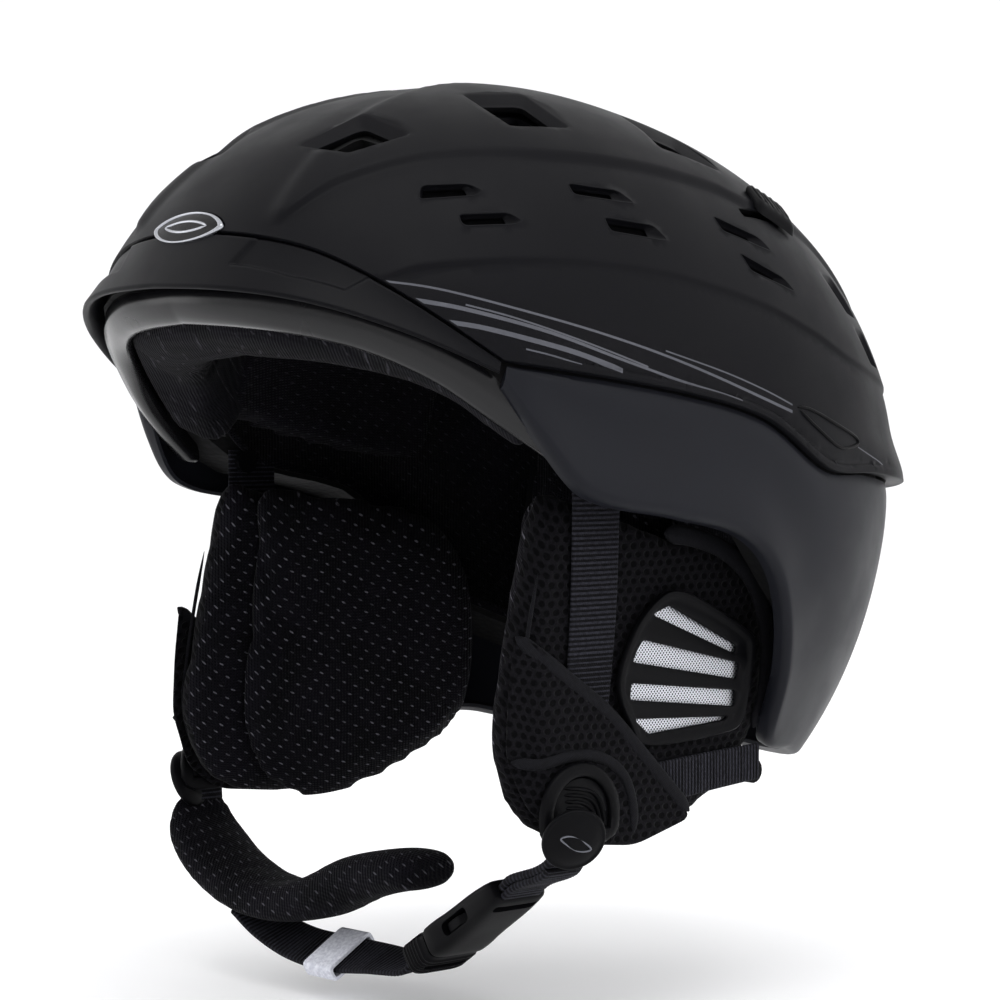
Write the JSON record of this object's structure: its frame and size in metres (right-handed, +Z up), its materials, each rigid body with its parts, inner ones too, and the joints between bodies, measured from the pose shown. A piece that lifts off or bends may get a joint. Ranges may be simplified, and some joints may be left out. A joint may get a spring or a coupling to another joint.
{
  "type": "ski helmet",
  "caption": "Two-piece ski helmet shell with vents and brim over foam, knitted pads, ear pads with speaker grilles and a buckled, padded chin strap.",
  "frame": {"origin": "centre of the head opening, where the shell is widest; the helmet's brow is raised 11.5 degrees, as on a head that looks a little upward", "axes": "+X towards the wearer's left, -Y towards the front, +Z up out of the crown"},
  "size_m": [0.2178, 0.2957, 0.2861],
  "materials": {
    "matte_shell": "soft satin",
    "badge_metal": "satin",
    "wing_shell": "satin",
    "grey_trim": "gloss",
    "foam": "moulded beads",
    "knit": "knitted",
    "mesh_fabric": "spacer mesh",
    "webbing": "ribbed",
    "steel": "brushed",
    "metal_gauze": "woven",
    "label": "woven",
    "hard_plastic": "satin"
  },
  "bodies": {
    "helmet": {"upper_shell": "matte_shell", "front_badge": "badge_metal", "lower_shell": "wing_shell", "brim": "matte_shell", "brow_frame": "grey_trim", "foam_liner": "foam", "crown_pad": "knit", "brow_pad": "knit", "side_pad_left": "knit", "side_pad_right": "knit", "ear_lining_left": "knit", "ear_lining_right": "knit", "ear_pad_left": "mesh_fabric", "ear_pad_right": "mesh_fabric", "front_strap_left": "webbing", "front_strap_right": "webbing", "rear_strap_left": "webbing", "rear_strap_right": "webbing", "pad_flap_left": "mesh_fabric", "pad_flap_right": "mesh_fabric", "front_strap_anchor_left": "steel", "front_strap_anchor_right": "steel", "rear_strap_anchor_left": "steel", "rear_strap_anchor_right": "steel", "speaker_gauze_left": "metal_gauze", "speaker_gauze_right": "metal_gauze", "ear_grille_left": "hard_plastic", "ear_grille_right": "hard_plastic", "strap_divider_left": "hard_plastic", "strap_divider_right": "hard_plastic", "divider_cap_left": "hard_plastic", "divider_cap_right": "hard_plastic", "clip_base": "hard_plastic", "clip_pin": "steel"},
    "vent_regulator_left": {"vent_shutter_left": "hard_plastic", "vent_knob_left": "hard_plastic"},
    "vent_regulator_right": {"vent_shutter_right": "hard_plastic", "vent_knob_right": "hard_plastic"},
    "head_cradle": {"fit_cradle": "hard_plastic", "neck_roll": "knit"},
    "strap_loop": {"chin_strap_left": "webbing", "buckle_socket": "hard_plastic", "chin_pad": "knit"},
    "buckle_half": {"buckle_tongue": "hard_plastic", "chin_strap_right": "webbing", "strap_label": "label"},
    "prong_a": {"prong_front": "hard_plastic"},
    "prong_b": {"prong_back": "hard_plastic"},
    "goggle_clip": {"clip_arm": "hard_plastic", "clip_stud": "hard_plastic"}
  },
  "joints": [
    {"name": "vent_slider_left", "type": "hinge", "parent": "helmet", "child": "vent_regulator_left", "pos_m": [0, -0.01196, -0.0588], "axis": [1, 0, 0], "range_deg": [0, 4.4]},
    {"name": "vent_slider_right", "type": "hinge", "parent": "helmet", "child": "vent_regulator_right", "pos_m": [0, -0.01196, -0.0588], "axis": [1, 0, 0], "range_deg": [0, 4.4]},
    {"name": "cradle_slide", "type": "slide", "parent": "helmet", "child": "head_cradle", "axis": [0, 1, 0], "range_m": [-0.004, 0.006], "stiffness_N_per_m": 300},
    {"name": "strap_swing", "type": "hinge", "parent": "helmet", "child": "strap_loop", "pos_m": [0, -0.05, -0.109], "axis": [1, 0, 0], "range_deg": [-35, 22]},
    {"name": "buckle_release", "type": "slide", "parent": "strap_loop", "child": "buckle_half", "axis": [-0.8339, 0, -0.5519], "range_m": [0, 0.026], "deforming": ["prong_front", "prong_back"]},
    {"name": "prong_squeeze", "type": "slide", "parent": "buckle_half", "child": "prong_a", "axis": [0, 1, 0], "range_m": [0, 0.0016], "stiffness_N_per_m": 400},
    {"name": "prong_squeeze_back", "type": "slide", "parent": "buckle_half", "child": "prong_b", "axis": [0, -1, 0], "range_m": [0, 0.0016], "stiffness_N_per_m": 400},
    {"name": "goggle_clip_swing", "type": "hinge", "parent": "helmet", "child": "goggle_clip", "pos_m": [0, 0.14981, -0.03231], "axis": [1, 0, 0], "range_deg": [0, 80]}
  ],
  "couplings": [
    {"joint": "prong_squeeze_back", "follows": "prong_squeeze", "ratio": 1}
  ]
}
